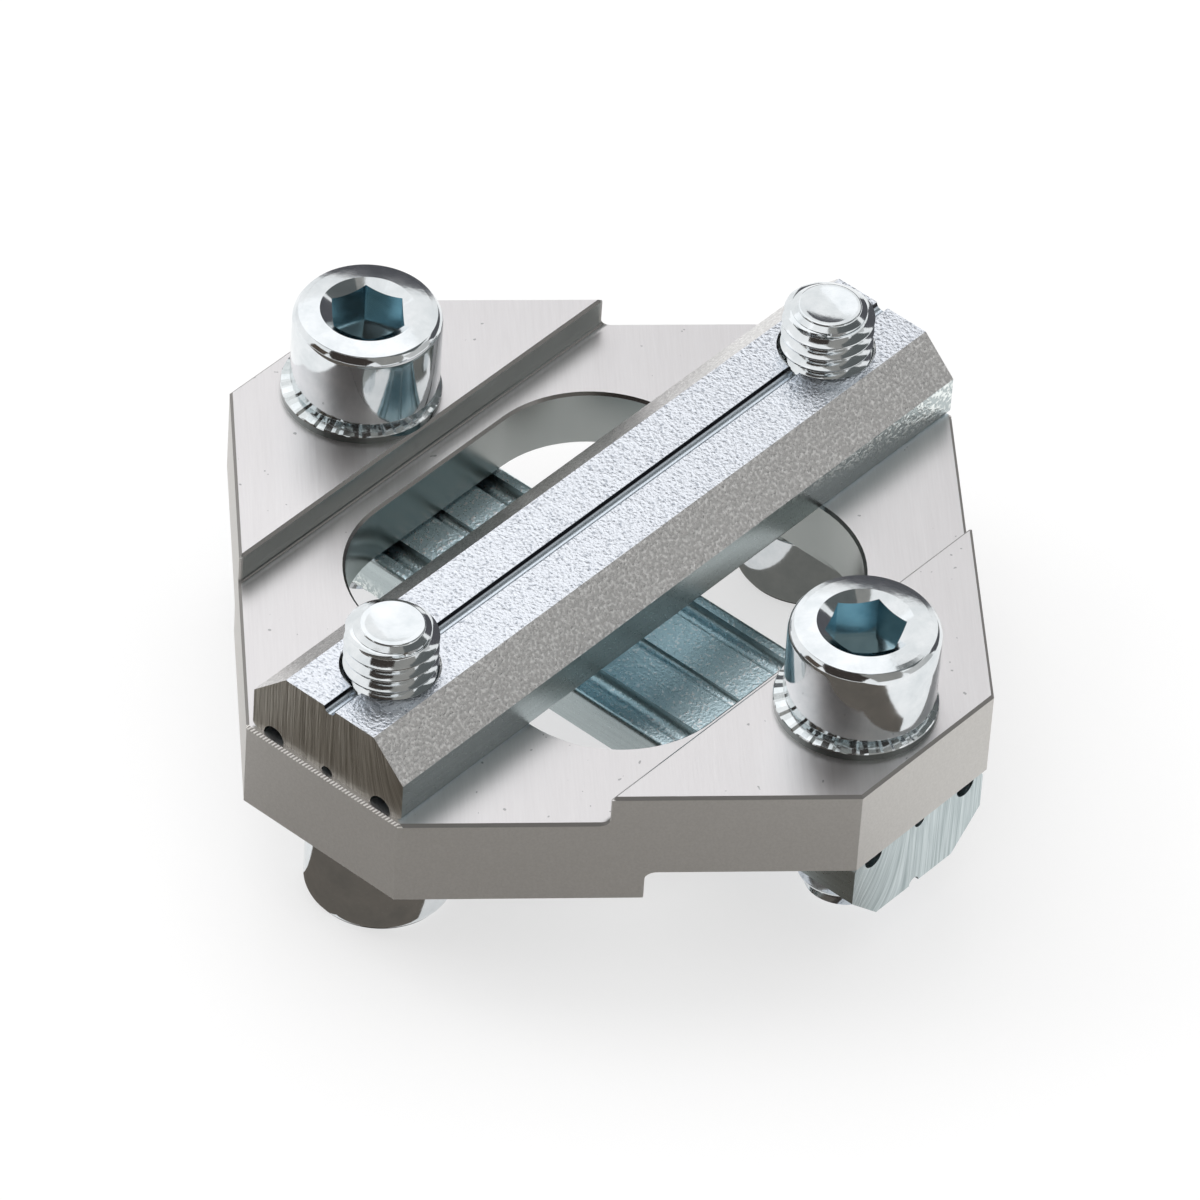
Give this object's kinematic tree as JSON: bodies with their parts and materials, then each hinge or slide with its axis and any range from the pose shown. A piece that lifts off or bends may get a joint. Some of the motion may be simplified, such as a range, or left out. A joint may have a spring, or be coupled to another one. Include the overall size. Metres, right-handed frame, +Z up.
{
  "type": "cross connecting plate",
  "caption": "Plate with crossed channels above and below, a windowed middle, and screwed slot bars that clamp two crossing aluminium profiles.",
  "frame": {"origin": "middle of the plate, halfway between its two raised faces", "axes": "+X along the upper slot bar, +Y along the lower slot bar, +Z up, out of the upper channel"},
  "size_m": [0.0706, 0.0706, 0.0296],
  "materials": {
    "machined_aluminium": "brushed",
    "zinc_plated_bar": "grainy zinc",
    "bright_zinc_screw": "bright zinc",
    "bright_zinc_washer": "bright zinc"
  },
  "bodies": {
    "plate": {"cross_plate": "machined_aluminium", "rib_washer_back": "bright_zinc_washer", "rib_washer_front": "bright_zinc_washer", "rib_washer_left": "bright_zinc_washer", "rib_washer_right": "bright_zinc_washer"},
    "upper_bar": {"upper_slot_bar": "zinc_plated_bar"},
    "lower_bar": {"lower_slot_bar": "zinc_plated_bar"},
    "back_screw": {"cap_screw_back": "bright_zinc_screw"},
    "front_screw": {"cap_screw_front": "bright_zinc_screw"},
    "left_screw": {"cap_screw_left": "bright_zinc_screw"},
    "right_screw": {"cap_screw_right": "bright_zinc_screw"}
  },
  "joints": [
    {"name": "left_screw_turn", "type": "hinge", "parent": "plate", "child": "left_screw", "pos_m": [-0.0273, 0, 0], "axis": [0, 0, -1], "range_deg": [0, 2880]},
    {"name": "right_screw_turn", "type": "hinge", "parent": "plate", "child": "right_screw", "pos_m": [0.0279, 0, 0], "axis": [0, 0, -1], "range_deg": [0, 2880]},
    {"name": "upper_bar_travel", "type": "slide", "parent": "plate", "child": "upper_bar", "axis": [0, 0, 1], "range_m": [0, 0.01]},
    {"name": "back_screw_turn", "type": "hinge", "parent": "plate", "child": "back_screw", "pos_m": [0, 0.0275, 0], "axis": [0, 0, 1], "range_deg": [0, 2880]},
    {"name": "front_screw_turn", "type": "hinge", "parent": "plate", "child": "front_screw", "pos_m": [0, -0.0277, 0], "axis": [0, 0, 1], "range_deg": [0, 2880]},
    {"name": "lower_bar_travel", "type": "slide", "parent": "plate", "child": "lower_bar", "axis": [0, 0, -1], "range_m": [0, 0.01]}
  ],
  "couplings": [
    {"joint": "left_screw_turn", "follows": "upper_bar_travel", "rad_per_m": 5026.5},
    {"joint": "right_screw_turn", "follows": "upper_bar_travel", "rad_per_m": 5026.5},
    {"joint": "back_screw_turn", "follows": "lower_bar_travel", "rad_per_m": 5026.5},
    {"joint": "front_screw_turn", "follows": "lower_bar_travel", "rad_per_m": 5026.5}
  ]
}
